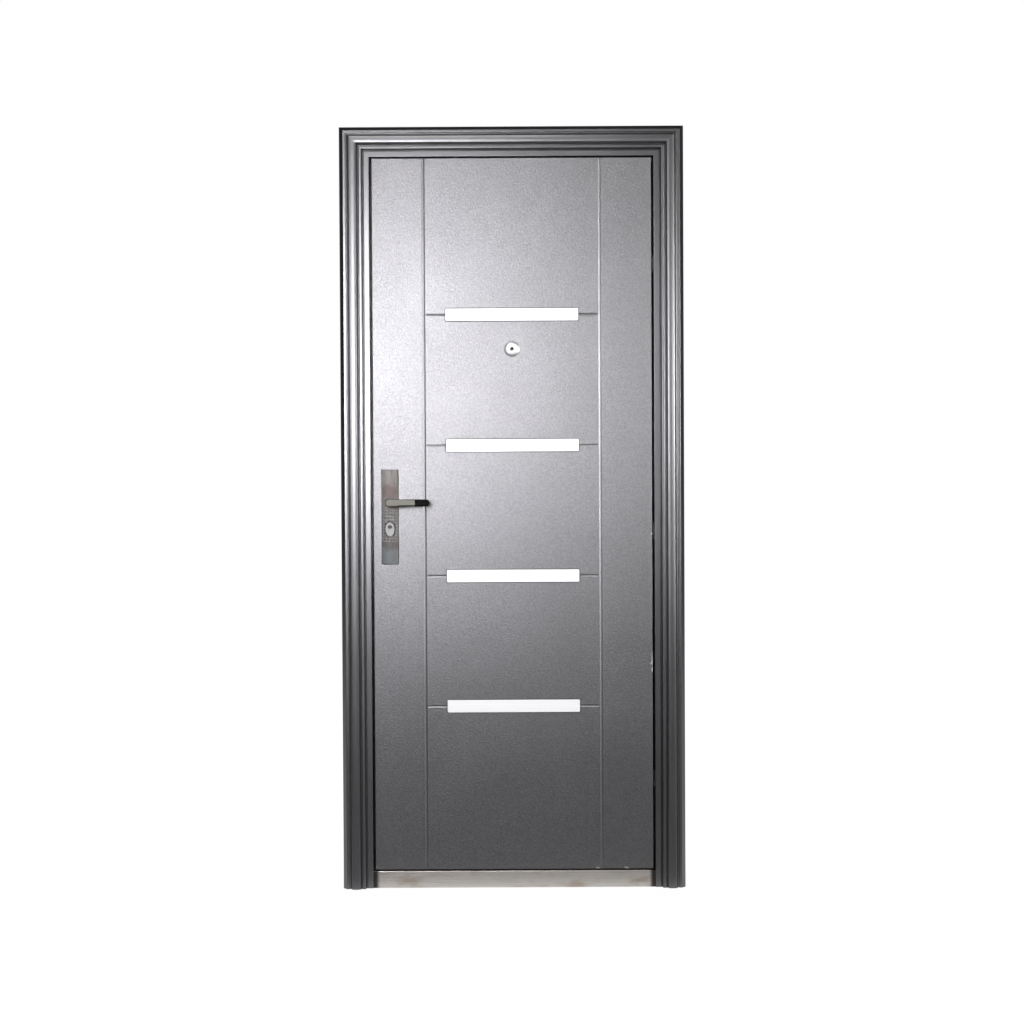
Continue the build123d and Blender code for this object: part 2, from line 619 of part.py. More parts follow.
with BuildPart() as cylinder_guard:
    oval_along_y(LOCK_X, CYLINDER_Z, GUARD_WIDTH, GUARD_HEIGHT, LEAF_FRONT - GUARD_PROUD, LEAF_FRONT)
    guard_front = cylinder_guard.faces().sort_by(Axis.Y)[0]
    fillet(guard_front.edges(), PLATE_BEVEL)
    oval_along_y(LOCK_X, CYLINDER_Z, CYLINDER_WIDTH, CYLINDER_HEIGHT, LEAF_FRONT - GUARD_PROUD - OVER,
                 LEAF_FRONT + OVER, Mode.SUBTRACT)
parts["cylinder_guard"] = cylinder_guard.part

CYLINDER_FRONT = LEAF_FRONT - CYLINDER_PROUD
CYLINDER_BACK = LEAF_BACK + CYLINDER_PROUD
with BuildPart() as lock_cylinder:
    oval_along_y(LOCK_X, CYLINDER_Z, CYLINDER_WIDTH, CYLINDER_HEIGHT, CYLINDER_FRONT, CYLINDER_BACK)
    bar_along_y(LOCK_X, PLUG_Z, PLUG_RADIUS, CYLINDER_FRONT - OVER, CYLINDER_FRONT + PLUG_DEPTH, Mode.SUBTRACT)
parts["lock_cylinder"] = lock_cylinder.part

with BuildPart() as key_plug:
    bar_along_y(LOCK_X, PLUG_Z, PLUG_RADIUS, CYLINDER_FRONT, CYLINDER_FRONT + PLUG_DEPTH)
    box_between((LOCK_X - KEYWAY_WIDTH / 2, CYLINDER_FRONT - OVER, PLUG_Z - KEYWAY_HEIGHT / 2),
                (LOCK_X + KEYWAY_WIDTH / 2, CYLINDER_FRONT + OVER, PLUG_Z + KEYWAY_HEIGHT / 2), Mode.SUBTRACT)
parts["key_plug"] = key_plug.part

with BuildPart() as thumb_turn:
    bar_along_y(LOCK_X, PLUG_Z, TURN_NECK_RADIUS, CYLINDER_BACK, CYLINDER_BACK + TURN_NECK)
    box_between((LOCK_X - TURN_THICK / 2, CYLINDER_BACK + TURN_NECK, PLUG_Z - TURN_LENGTH / 2),
                (LOCK_X + TURN_THICK / 2, CYLINDER_BACK + TURN_NECK + TURN_HEIGHT, PLUG_Z + TURN_LENGTH / 2))
    grip = thumb_turn.faces().sort_by(Axis.Y)[-1]
    fillet(grip.edges(), PLATE_BEVEL)
parts["thumb_turn"] = thumb_turn.part

# Levers on one square spindle
TIP_PLANE = Plane((LOCK_X + TIP_START, 0, 0), z_dir=(1, 0, 0))
for side_name, face, outward in (("outer", LEAF_FRONT, -1), ("inner", LEAF_BACK, 1)):
    with BuildPart() as grip_part:
        lever(face, outward)
        split(bisect_by=TIP_PLANE, keep=Keep.BOTTOM)
    parts[f"{side_name}_lever"] = grip_part.part
    with BuildPart() as tip_part:
        lever(face, outward)
        split(bisect_by=TIP_PLANE, keep=Keep.TOP)
    parts[f"{side_name}_lever_tip"] = tip_part.part

SPINDLE_HALF = SPINDLE_SIDE / 2
with BuildPart() as lever_spindle:
    box_between((LOCK_X - SPINDLE_HALF, LEAF_FRONT - SPINDLE_REACH, LEVER_Z - SPINDLE_HALF),
                (LOCK_X + SPINDLE_HALF, LEAF_BACK + SPINDLE_REACH, LEVER_Z + SPINDLE_HALF))
parts["lever_spindle"] = lever_spindle.part

# Concealed hinges
ARM_LINE = [
    (LEAF_HALF + FOOT_THICK, ARM_LEG_Y, 0.0),
    (ARM_LEG_X - ARM_THICK, ARM_LEG_Y, ARM_ROUND - ARM_THICK),
    (ARM_LEG_X - ARM_THICK, PIN_Y, 0.0),
]
for name, z in HINGES:
    with BuildPart() as hinge_arm:
        with BuildSketch(Plane.XY.offset(z - ARM_HALF)):
            draw_sheet(ARM_LINE, ARM_THICK)
            with Locations((PIN_X, PIN_Y)):
                Circle(KNUCKLE_RADIUS)
            with Locations(((LEAF_HALF + FOOT_THICK / 2), (FOOT_NEAR + FOOT_FAR) / 2)):
                Rectangle(FOOT_THICK, FOOT_FAR - FOOT_NEAR)
            with Locations((PIN_X, PIN_Y)):
                Circle(PIN_RADIUS + PIN_CLEAR, mode=Mode.SUBTRACT)
        extrude(amount=2 * ARM_HALF)
    parts[f"hinge_arm_{name}"] = hinge_arm.part

    with BuildPart() as hinge_bracket:
        for low in (z - LUG_FAR, z + LUG_NEAR):
            with BuildSketch(Plane.XY.offset(low)):
                Polygon(*LUG_OUTLINE, align=None)
                with Locations((PIN_X, PIN_Y)):
                    Circle(KNUCKLE_RADIUS)
                with Locations((PIN_X, PIN_Y)):
                    Circle(PIN_RADIUS, mode=Mode.SUBTRACT)
            extrude(amount=LUG_FAR - LUG_NEAR)
        box_between((BRACKET_BACK, LUG_FRONT, z - LUG_FAR), (BRACKET_EDGE, LUG_BACK, z + LUG_FAR))
    parts[f"hinge_bracket_{name}"] = hinge_bracket.part

    with BuildPart() as hinge_pin:
        with Locations((PIN_X, PIN_Y, z - LUG_FAR - PIN_TAIL)):
            Cylinder(PIN_RADIUS, 2 * LUG_FAR + PIN_TAIL, align=(Align.CENTER, Align.CENTER, Align.MIN))
        with Locations((PIN_X, PIN_Y, z + LUG_FAR)):
            Cylinder(PIN_HEAD_RADIUS, PIN_HEAD, align=(Align.CENTER, Align.CENTER, Align.MIN))
    parts[f"hinge_pin_{name}"] = hinge_pin.part

os.makedirs("parts", exist_ok=True)
for name, shape in parts.items():
    shape.label = name
    export_step(shape, f"parts/{name}.step")
    print(name, round(shape.volume), len(shape.solids()))
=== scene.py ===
import math

import bpy
import numpy as np
from mathutils import Matrix, Vector


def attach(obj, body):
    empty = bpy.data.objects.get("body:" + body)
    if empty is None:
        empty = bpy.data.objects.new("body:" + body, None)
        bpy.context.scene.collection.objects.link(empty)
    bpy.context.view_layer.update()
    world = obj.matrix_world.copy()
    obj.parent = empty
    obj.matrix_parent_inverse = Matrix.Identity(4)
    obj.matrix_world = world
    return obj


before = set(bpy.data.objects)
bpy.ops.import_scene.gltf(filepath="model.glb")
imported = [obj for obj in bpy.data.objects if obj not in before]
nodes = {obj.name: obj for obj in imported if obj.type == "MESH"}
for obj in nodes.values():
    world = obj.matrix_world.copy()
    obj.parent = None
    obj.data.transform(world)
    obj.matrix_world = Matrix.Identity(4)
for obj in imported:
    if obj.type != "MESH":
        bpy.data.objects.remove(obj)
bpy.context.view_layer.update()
scene = bpy.context.scene
scene.view_settings.view_transform = "Standard"

# Camera, in metres and degrees, at the photograph's viewing angle
CAMERA_PLACE = (0.0018, -4.0, 1.1096)
CAMERA_PITCH = -0.789
CAMERA_YAW = -0.058
CAMERA_ROLL = -0.293
FOCAL_PIXELS = 1426.87
PICTURE_PIXELS = 1024
SENSOR = 36.0

# Lamps: place, point aimed at, width, height, spread in degrees, watts, colour
LAMPS = {
    "key_lamp": ((-0.90, -4.3, 1.80), (-0.44, 0.0, 1.42), 1.3, 1.3, 52.0, 11.0, (0.97, 0.97, 1.0)),
    "right_lamp": ((2.2, -4.2, 1.75), (0.46, 0.0, 1.50), 0.8, 1.0, 52.0, 2.4, (1.0, 1.0, 1.0)),
    "right_side_lamp": ((3.4, -3.4, 1.75), (0.46, 0.0, 1.40), 0.9, 1.4, 52.0, 12.5, (1.0, 1.0, 1.0)),
    "left_side_lamp": ((-2.9, -4.0, 1.75), (-0.46, 0.0, 1.40), 0.9, 1.4, 52.0, 1.2, (1.0, 1.0, 1.0)),
    "ceiling_lamp": ((-0.5, -2.4, 3.6), (0.0, 0.0, 2.1), 1.6, 0.5, 60.0, 1.9, (1.0, 0.99, 0.97)),
    "high_lamp": ((-0.5, -4.0, 3.8), (-0.15, 0.0, 0.92), 0.9, 0.6, 23.0, 1.25, (1.0, 1.0, 1.0)),
}

# Surroundings seen in the metal: levels, and the slopes of view between which they fade in
FRONT_LEVEL = 0.13
SIDE_LEVEL = 0.02
BACK_LEVEL = 1.0
FRONT_FADE = (0.05, 0.45)
BACK_FADE = (0.72, 0.92)
WHITE = (1.0, 1.0, 1.0, 1.0)

# Floor, in metres: it is white to the camera, a little less so round the foot of the door
FLOOR_REACH = 6.0
FLOOR_TONE = (0.86, 0.86, 0.86, 1.0)
FLOOR_ROUGH = 0.8
FLOOR_GLOW = 1.05
FLOOR_IN_METAL = (-0.15, 0.05)
FOOT_STRETCH = (1.6, 3.6, 1.0)
FOOT_RIM = (0.75, 1.25)
FOOT_SHARE = 0.93
OPEN_SHARE = 0.07

# Measures of the lock plate, in metres
LOCK_X = -0.343
LEAF_FACE = -0.0095
PLATE_HALF = 0.024
PLATE_EDGE = 0.004
PLATE_CROWN = 0.007
WAFFLE_LOW = 0.972
WAFFLE_HIGH = 1.062
WAFFLE_HALF = 0.0205
WAFFLE_PITCH = 0.0041
WAFFLE_PROUD = 0.0006
WAFFLE_SUNK = 0.0002
WAFFLE_UNDER = 0.0015
WAFFLE_SAMPLES = 8
WAFFLE_SLOPE = 0.2
CELL_MIDDLE = 0.5
GUARD_Z = 1.008
GUARD_HALF = 0.014
GUARD_TALL = 0.0215

# Bright strips and the dark ring round them, which stands in for the shade along their edges, in metres
STRIP_HALF = 0.1855
STRIP_TALL = 0.0175
STRIP_CORNER = 0.003
STRIP_Z = (0.511, 0.876, 1.241, 1.606)
SHADE_RING_OUT = 0.0010
SHADE_RING_HALF = 0.0010
SHADE_RING_PROUD = 0.0008
SHADE_RING_DEEP = 0.0009
SHADE_RING_TURNS = 12
SHADE_RING_SIDES = 12

# Screw heads, as shares of their radius, and their places in metres
SHARP_ANGLE = 28.0
SCREW_RINGS = 12
SCREW_SIDES = 48
SCREW_MIDDLE = 0.06
SCREW_DOME = 0.16
SCREW_CROWN = 1.02
SCREW_SUNK = 0.25
SLOT_HALF = 0.15
SLOT_SOFT = 0.06
SLOT_LONG = 0.62
SLOT_DEEP = 0.30
PLATE_SCREW_RADIUS = 0.0042
EDGE_SCREW_RADIUS = 0.0040
FOOT_SCREW_RADIUS = 0.0042
PLATE_SCREWS = {"low": 0.924, "high": 1.161}
EDGE_SCREWS = {"low": 0.934, "high": 1.156}
FOOT_SCREWS = {"low": -0.012, "high": 0.012}
HINGES = {"low": 0.300, "mid": 1.000, "high": 1.750}
INNER_PLATE_FACE = 0.0475
EDGE_MIDDLE = 0.0155
FOREND_FACE = -0.3895
STRIKE_FACE = -0.396
FOOT_FACE = 0.3925
FOOT_SCREW_Y = 0.0145

# Plain colour, metal share and roughness of each finish, which its patterns then vary
PLAIN = {
    "leaf_paint": ((0.19, 0.188, 0.194), 0.92, 0.43),
    "frame_paint": ((0.170, 0.168, 0.174), 0.92, 0.30),
    "sill_steel": ((0.62, 0.59, 0.55), 1.0, 0.34),
    "strip_aluminium": ((0.95, 0.95, 0.955), 0.1, 0.36),
    "chrome": ((0.30, 0.30, 0.30), 1.0, 0.45),
    "satin_nickel": ((0.17, 0.165, 0.16), 1.0, 0.54),
    "waffle": ((0.17, 0.165, 0.16), 1.0, 0.54),
    "black_grip": ((0.004, 0.004, 0.004), 0.0, 0.45),
    "lens_glass": ((0.03, 0.032, 0.035), 0.0, 0.05),
    "seal_rubber": ((0.022, 0.022, 0.022), 0.0, 0.75),
    "hinge_steel": ((0.22, 0.216, 0.21), 1.0, 0.46),
    "lock_steel": ((0.70, 0.69, 0.67), 1.0, 0.22),
    "core_filler": ((0.36, 0.27, 0.18), 0.0, 0.9),
}

# Darker and lighter tone of each finish
LEAF_TONES = ((0.156, 0.154, 0.158), (0.226, 0.224, 0.232))
FRAME_TONES = ((0.157, 0.155, 0.160), (0.183, 0.181, 0.187))
SILL_TONES = ((0.54, 0.51, 0.475), (0.68, 0.65, 0.61))
STRIP_TONES = ((0.90, 0.90, 0.905), (0.96, 0.96, 0.965))
CHROME_TONES = ((0.165, 0.165, 0.163), (0.240, 0.240, 0.237))
NICKEL_TONES = ((0.13, 0.126, 0.122), (0.20, 0.195, 0.187))
GRIP_TONES = ((0.003, 0.003, 0.003), (0.006, 0.006, 0.0055))
LENS_TONES = ((0.022, 0.024, 0.028), (0.045, 0.045, 0.048))
RUBBER_TONES = ((0.015, 0.015, 0.015), (0.032, 0.031, 0.030))
HINGE_TONES = ((0.13, 0.127, 0.12), (0.22, 0.216, 0.21))
LOCK_TONES = ((0.55, 0.54, 0.52), (0.70, 0.69, 0.67))
CORE_TONES = ((0.42, 0.33, 0.23), (0.26, 0.19, 0.12))
WAFFLE_TONES = ((0.30, 0.292, 0.285), (0.028, 0.026, 0.026))

# Tones of wear, dirt and parts, with the painted shade at the sill ends and the painted light on the
# hinge-side seal, and the share of each that shows
LEAF_CLOUD_TONE = (0.165, 0.162, 0.163)
LEAF_CLOUD_SHARE = 0.25
PRIMER_TONE = (0.62, 0.60, 0.57)
FRAME_RUB_TONE = (0.135, 0.132, 0.131)
FRAME_RUB_SHARE = 0.18
SMUDGE_TONE = (0.36, 0.30, 0.25)
SMUDGE_SHARE = 0.85
# Painted shade at both ends of the sill
SILL_END_SHADE_TONE = (0.05, 0.045, 0.042)
GUARD_TONE = (0.045, 0.045, 0.047)
VIEWER_TONE = (0.62, 0.62, 0.625)
PLUG_TONE = (0.05, 0.048, 0.045)
TARNISH_TONE = (0.16, 0.132, 0.126)
TARNISH_SHARE = 0.5
LEVER_TONE = (0.145, 0.143, 0.126)
DUST_AND_GAP_LIGHT_TONE = (0.22, 0.215, 0.21)

# Roughness of each finish where its pattern is lowest and highest
LEAF_GLOSS = (0.36, 0.39)
FRAME_GLOSS = (0.28, 0.33)
SILL_GLOSS = (0.30, 0.48)
STRIP_GLOSS = (0.32, 0.42)
CHROME_GLOSS = (0.42, 0.52)
NICKEL_GLOSS = (0.50, 0.58)
GRIP_GLOSS = (0.40, 0.50)
LENS_GLOSS = (0.03, 0.09)
RUBBER_GLOSS = (0.68, 0.85)
HINGE_GLOSS = (0.60, 0.46)
LOCK_GLOSS = (0.34, 0.22)
GRIP_SHINE = 0.03

# Patterns: features in a metre, along each axis where they differ, then layers of detail
LEAF_CLOUD = (3.5, 3.0)
LEAF_FLAKE = (250.0, 3.0)
LEAF_PEEL = (210.0, 2.0)
LEAF_FINE_PEEL = (760.0, 2.0)
LEAF_DULLING = (5.0, 4.0)
FRAME_FLAKE = (1400.0, 1.0)
FRAME_RUB = ((14.0, 14.0, 3.5), 4.0)
FRAME_RIPPLE = (40.0, 1.0)
FRAME_FINE_PEEL = (700.0, 1.0)
SILL_BRUSH = ((6.0, 900.0, 900.0), 3.0)
SILL_SMUDGE = ((9.0, 20.0, 26.0), 4.0, 0.6)
STRIP_BRUSH = ((4.0, 1100.0, 1100.0), 3.0)
CHROME_HAZE = (160.0, 4.0)
NICKEL_BRUSH = ((260.0, 260.0, 9.0), 2.0)
NICKEL_TARNISH = (34.0, 3.0)
NICKEL_DULLING = (120.0, 3.0)
GRIP_RUB = ((900.0, 60.0, 60.0), 3.0)
LENS_HAZE = (300.0, 3.0)
RUBBER_PORES = (900.0, 3.0)
HINGE_CLOUD = (45.0, 4.0)
LOCK_CLOUD = (60.0, 4.0)
STEEL_SCRATCH = ((1200.0, 1200.0, 90.0), 2.0)
CORE_CELLS = 60.0
NOISE_MIDDLE = (0.3, 0.7)

# Depth of each bump, in metres
PEEL_DEEP = 0.0006
FINE_PEEL_DEEP = 0.0001
RIPPLE_DEEP = 0.00003
FRAME_PEEL_DEEP = 0.000004
SILL_BRUSH_DEEP = 0.00002
BRUSH_DEEP = 0.00001
PORES_DEEP = 0.0002
CELLS_DEEP = 0.0008

# Fades: where a pattern or a place along an axis starts and ends
SMUDGE_FADE = (0.48, 0.76)
SILL_END_SHADE_FADE = (0.376, 0.389)
VIEWER_FADE = (1.20, 1.25)
LEVER_FADE = (-0.024, -0.030)
WAFFLE_FADE = (0.24, 0.38)
DUST_AND_GAP_LIGHT_FADE = (0.30, 0.38)
CELL_FADE = (0.02, 0.10)

# Marks, each a centre and three half-sizes in metres
CYLINDER_FACE = (((-0.343, 0.0155, 1.008), (0.0125, 0.2, 0.0200)),)
PLUG_FACE = (((-0.343, -0.0205, 1.0145), (0.0062, 0.006, 0.0055)),)
# Painted reflections on the lock plate, warm above the lever and cool near the bottom, and a darker patch
# just under the guard
WARM_REFLECTION_SPOT = (((-0.343, -0.0160, 1.112), (0.030, 0.02, 0.020)),)
COOL_REFLECTION_SPOT = (((-0.352, -0.0160, 0.925), (0.030, 0.02, 0.030)),)
DARK_SPOT_UNDER_GUARD = (((-0.345, -0.0160, 0.966), (0.032, 0.02, 0.014)),)
LEAF_CHIPS = (
    ((0.3885, -0.0095, 0.640), (0.0022, 0.004, 0.016)),
    ((0.3890, -0.0095, 0.612), (0.0030, 0.004, 0.006)),
    ((0.3860, -0.0095, 0.628), (0.0030, 0.004, 0.0022)),
    ((0.3885, -0.0095, 0.992), (0.0022, 0.004, 0.0026)),
    ((0.2340, -0.0095, 0.0548), (0.0050, 0.004, 0.0022)),
    ((0.3140, -0.0095, 0.0556), (0.0060, 0.004, 0.0024)),
)

# Rims of marks: wobbles in a metre, unevenness and softness as shares of the half-sizes
CHIP_RIM = (420.0, 0.45, 0.1)
CYLINDER_RIM = (300.0, 0.04, 0.06)
PLUG_RIM = (300.0, 0.15, 0.2)
SPOT_RIM = (40.0, 0.3, 0.7)
RIM_LAYERS = 3.0

# Spots on the lock plate: mark, share that shows, tone. The warm and cool spots are painted reflections; the
# third is a darker patch just under the guard
PLATE_SPOTS = (
    (WARM_REFLECTION_SPOT, 0.7, (0.108, 0.084, 0.080)),
    (COOL_REFLECTION_SPOT, 0.7, (0.105, 0.125, 0.135)),
    (DARK_SPOT_UNDER_GUARD, 0.6, (0.075, 0.064, 0.060)),
)


def make_camera():
    """Looks along the forward direction given by pitch and yaw, turned about it by roll."""
    pitch = math.radians(CAMERA_PITCH)
    yaw = math.radians(CAMERA_YAW)
    roll = math.radians(CAMERA_ROLL)
    forward = Vector((math.sin(yaw) * math.cos(pitch), math.cos(yaw) * math.cos(pitch), math.sin(pitch)))
    level = Vector((math.cos(yaw), -math.sin(yaw), 0.0))
    upright = level.cross(forward)
    right = level * math.cos(roll) + upright * math.sin(roll)
    up = upright * math.cos(roll) - level * math.sin(roll)
    lens = bpy.data.cameras.new("camera")
    lens.sensor_width = SENSOR
    lens.lens = FOCAL_PIXELS * SENSOR / PICTURE_PIXELS
    camera = bpy.data.objects.new("camera", lens)
    scene.collection.objects.link(camera)
    turn = Matrix((right, up, -forward)).transposed().to_4x4()
    camera.matrix_world = Matrix.Translation(CAMERA_PLACE) @ turn
    scene.camera = camera


def make_lamp(name, place, target, width, height, spread_angle, watts, colour):
    """A rectangular soft lamp at a place, facing a point."""
    lamp = bpy.data.lights.new(name, "AREA")
    lamp.shape = "RECTANGLE"
    lamp.size = width
    lamp.size_y = height
    lamp.spread = math.radians(spread_angle)
    lamp.energy = watts
    lamp.color = colour
    stand = bpy.data.objects.new(name, lamp)
    scene.collection.objects.link(stand)
    facing = (Vector(target) - Vector(place)).to_track_quat("-Z", "Y")
    stand.matrix_world = Matrix.Translation(place) @ facing.to_matrix().to_4x4()


def add_node(tree, kind, inputs=None, **settings):
    """Adds a node, sets its settings, and sets or links each named input."""
    made = tree.nodes.new(kind)
    for key, value in settings.items():
        setattr(made, key, value)
    for key, value in (inputs or {}).items():
        if isinstance(value, bpy.types.NodeSocket):
            tree.links.new(value, made.inputs[key])
        else:
            made.inputs[key].default_value = value
    return made


def sum_of(tree, operation, *values):
    """One arithmetic step on numbers or sockets, returned as a socket."""
    return add_node(tree, "ShaderNodeMath", dict(enumerate(values)), operation=operation).outputs[0]


def axes_of(tree, place):
    """The X, Y and Z of a place, as sockets by name."""
    return add_node(tree, "ShaderNodeSeparateXYZ", {0: place}).outputs


def step_between(tree, value, low, high):
    """A smooth step from 0 at low to 1 at high."""
    step = add_node(tree, "ShaderNodeMapRange", interpolation_type="SMOOTHSTEP", clamp=True)
    tree.links.new(value, step.inputs["Value"])
    step.inputs["From Min"].default_value = low
    step.inputs["From Max"].default_value = high
    return step.outputs["Result"]


def make_world():
    """Studio surroundings: dim in front, dark at the sides and above, white behind and to the camera."""
    world = bpy.data.worlds.new("studio")
    scene.world = world
    world.use_nodes = True
    tree = world.node_tree
    tree.nodes.clear()
    direction = add_node(tree, "ShaderNodeTexCoord").outputs["Generated"]
    forward = axes_of(tree, direction)["Y"]
    behind = step_between(tree, forward, *BACK_FADE)
    ahead = step_between(tree, sum_of(tree, "MULTIPLY", forward, -1.0), *FRONT_FADE)
    front = sum_of(tree, "MULTIPLY", ahead, FRONT_LEVEL - SIDE_LEVEL)
    back = sum_of(tree, "MULTIPLY", behind, BACK_LEVEL - SIDE_LEVEL)
    level = sum_of(tree, "ADD", sum_of(tree, "ADD", front, SIDE_LEVEL), back)
    path = add_node(tree, "ShaderNodeLightPath").outputs
    seen = sum_of(tree, "MAXIMUM", path["Is Camera Ray"], path["Is Transmission Ray"])
    level = sum_of(tree, "MAXIMUM", level, seen)
    light = add_node(tree, "ShaderNodeBackground", {"Color": WHITE, "Strength": level})
    output = add_node(tree, "ShaderNodeOutputWorld")
    tree.links.new(light.outputs[0], output.inputs["Surface"])


def make_floor():
    """A pale floor that keeps the shadow and is white to the camera and to glossy metal near the door."""
    mesh = bpy.data.meshes.new("floor")
    corners = [(FLOOR_REACH * across, FLOOR_REACH * along, 0.0)
               for across, along in ((-1, -1), (1, -1), (1, 1), (-1, 1))]
    mesh.from_pydata(corners, [], [(0, 1, 2, 3)])
    floor = bpy.data.objects.new("floor", mesh)
    scene.collection.objects.link(floor)
    material = bpy.data.materials.new("floor_paper")
    material.use_nodes = True
    tree = material.node_tree
    paper = tree.nodes["Principled BSDF"]
    paper.inputs["Base Color"].default_value = FLOOR_TONE
    paper.inputs["Roughness"].default_value = FLOOR_ROUGH
    place = add_node(tree, "ShaderNodeTexCoord").outputs["Object"]
    near = step_between(tree, axes_of(tree, place)["Y"], *FLOOR_IN_METAL)
    round_foot = add_node(tree, "ShaderNodeMapping", {"Vector": place, "Scale": FOOT_STRETCH}).outputs[0]
    away = add_node(tree, "ShaderNodeVectorMath", {0: round_foot}, operation="LENGTH").outputs["Value"]
    open_floor = step_between(tree, away, *FOOT_RIM)
    path = add_node(tree, "ShaderNodeLightPath").outputs
    shown = sum_of(tree, "MAXIMUM", path["Is Camera Ray"], path["Is Transmission Ray"])
    glossy = sum_of(tree, "MULTIPLY", path["Is Glossy Ray"], near)
    kept = sum_of(tree, "MULTIPLY_ADD", open_floor, OPEN_SHARE, FOOT_SHARE)
    share = sum_of(tree, "MULTIPLY", sum_of(tree, "MAXIMUM", shown, glossy), kept)
    glow = add_node(tree, "ShaderNodeEmission", {"Color": WHITE, "Strength": FLOOR_GLOW})
    blend = add_node(tree, "ShaderNodeMixShader", {0: share})
    tree.links.new(paper.outputs[0], blend.inputs[1])
    tree.links.new(glow.outputs[0], blend.inputs[2])
    tree.links.new(blend.outputs[0], tree.nodes["Material Output"].inputs["Surface"])
    mesh.materials.append(material)


def new_finish(kind):
    """A material with its plain colour, metal share and roughness set on the surface shader."""
    colour, metal, rough = PLAIN[kind]
    material = bpy.data.materials.new(f"{kind}_finish")
    material.use_nodes = True
    tree = material.node_tree
    surface = tree.nodes["Principled BSDF"]
    surface.inputs["Base Color"].default_value = (*colour, 1.0)
    surface.inputs["Metallic"].default_value = metal
    surface.inputs["Roughness"].default_value = rough
    return material, tree, surface


def object_place(tree, stretch=(1.0, 1.0, 1.0)):
    """Object coordinates, stretched along each axis."""
    place = add_node(tree, "ShaderNodeTexCoord").outputs["Object"]
    return add_node(tree, "ShaderNodeMapping", {"Vector": place, "Scale": stretch}).outputs[0]


def grain(tree, place, scale, layers, rough=0.5):
    """Cloudy noise with so many features in a metre, in layers of finer detail."""
    settings = {"Vector": place, "Scale": scale, "Detail": layers, "Roughness": rough}
    return add_node(tree, "ShaderNodeTexNoise", settings).outputs["Fac"]


def drawn_grain(tree, stretch, layers, rough=0.5):
    """Cloudy noise drawn out, with its own number of features in a metre along each axis."""
    return grain(tree, object_place(tree, stretch), 1.0, layers, rough)


def spread(tree, value, low, high):
    """Maps the middle of a noise straight onto a range."""
    least, most = NOISE_MIDDLE
    settings = {"From Min": least, "From Max": most, "To Min": low, "To Max": high}
    made = add_node(tree, "ShaderNodeMapRange", settings)
    tree.links.new(value, made.inputs["Value"])
    return made.outputs["Result"]


def mixed(tree, share, first, second):
    """Mixes two colours by a share."""
    made = add_node(tree, "ShaderNodeMix", data_type="RGBA")
    for key, value in (("Factor", share), ("A", first), ("B", second)):
        socket = [s for s in made.inputs if s.name == key and s.enabled][0]
        if isinstance(value, bpy.types.NodeSocket):
            tree.links.new(value, socket)
        else:
            socket.default_value = (*value, 1.0)
    return [s for s in made.outputs if s.enabled][0]


def two_tone(tree, noise, tones):
    """A colour between a darker and a lighter tone, by a noise."""
    return mixed(tree, spread(tree, noise, 0.0, 1.0), *tones)


def dress(tree, surface, tone, noise, gloss):
    """Gives a surface its colour, and a roughness that follows a noise."""
    tree.links.new(tone, surface.inputs["Base Color"])
    tree.links.new(spread(tree, noise, *gloss), surface.inputs["Roughness"])


def bumped(tree, surface, height, depth, before=None):
    """Adds a bump of so many metres to the surface's normal."""
    made = add_node(tree, "ShaderNodeBump", {"Strength": 1.0, "Distance": depth, "Height": height})
    if before is not None:
        tree.links.new(before, made.inputs["Normal"])
    tree.links.new(made.outputs[0], surface.inputs["Normal"])
    return made.outputs[0]


def round_marks(tree, place, marks, wobble, uneven, soft):
    """The greatest of several soft ellipsoids, each a centre and three half-sizes, with a wobbling rim."""
    ragged = spread(tree, grain(tree, place, wobble, RIM_LAYERS), -uneven, uneven)
    total = None
    for centre, half in marks:
        gap = add_node(tree, "ShaderNodeVectorMath", {0: place, 1: centre}, operation="SUBTRACT").outputs[0]
        gap = add_node(tree, "ShaderNodeVectorMath", {0: gap, 1: half}, operation="DIVIDE").outputs[0]
        far = add_node(tree, "ShaderNodeVectorMath", {0: gap}, operation="LENGTH").outputs["Value"]
        near = step_between(tree, sum_of(tree, "ADD", far, ragged), 1.0 + soft, 1.0 - soft)
        total = near if total is None else sum_of(tree, "MAXIMUM", total, near)
    return total


def leaf_paint():
    """Charcoal metallic paint with orange peel, flakes, dull clouds and a few chips down to the primer."""
    material, tree, surface = new_finish("leaf_paint")
    place = object_place(tree)
    tone = two_tone(tree, grain(tree, place, *LEAF_FLAKE), LEAF_TONES)
    cloud = spread(tree, grain(tree, place, *LEAF_CLOUD), 0.0, LEAF_CLOUD_SHARE)
    tone = mixed(tree, cloud, tone, LEAF_CLOUD_TONE)
    tone = mixed(tree, round_marks(tree, place, LEAF_CHIPS, *CHIP_RIM), tone, PRIMER_TONE)
    dress(tree, surface, tone, grain(tree, place, *LEAF_DULLING), LEAF_GLOSS)
    peel = bumped(tree, surface, grain(tree, place, *LEAF_PEEL), PEEL_DEEP)
    bumped(tree, surface, grain(tree, place, *LEAF_FINE_PEEL), FINE_PEEL_DEEP, peel)
    return material


def frame_paint():
    """The same charcoal paint over smooth rolled sheet: glossier, with faint ripple and dull rubs."""
    material, tree, surface = new_finish("frame_paint")
    place = object_place(tree)
    rub = drawn_grain(tree, *FRAME_RUB)
    tone = two_tone(tree, grain(tree, place, *FRAME_FLAKE), FRAME_TONES)
    tone = mixed(tree, spread(tree, rub, 0.0, FRAME_RUB_SHARE), tone, FRAME_RUB_TONE)
    dress(tree, surface, tone, rub, FRAME_GLOSS)
    ripple = bumped(tree, surface, grain(tree, place, *FRAME_RIPPLE), RIPPLE_DEEP)
    bumped(tree, surface, grain(tree, place, *FRAME_FINE_PEEL), FRAME_PEEL_DEEP, ripple)
    return material


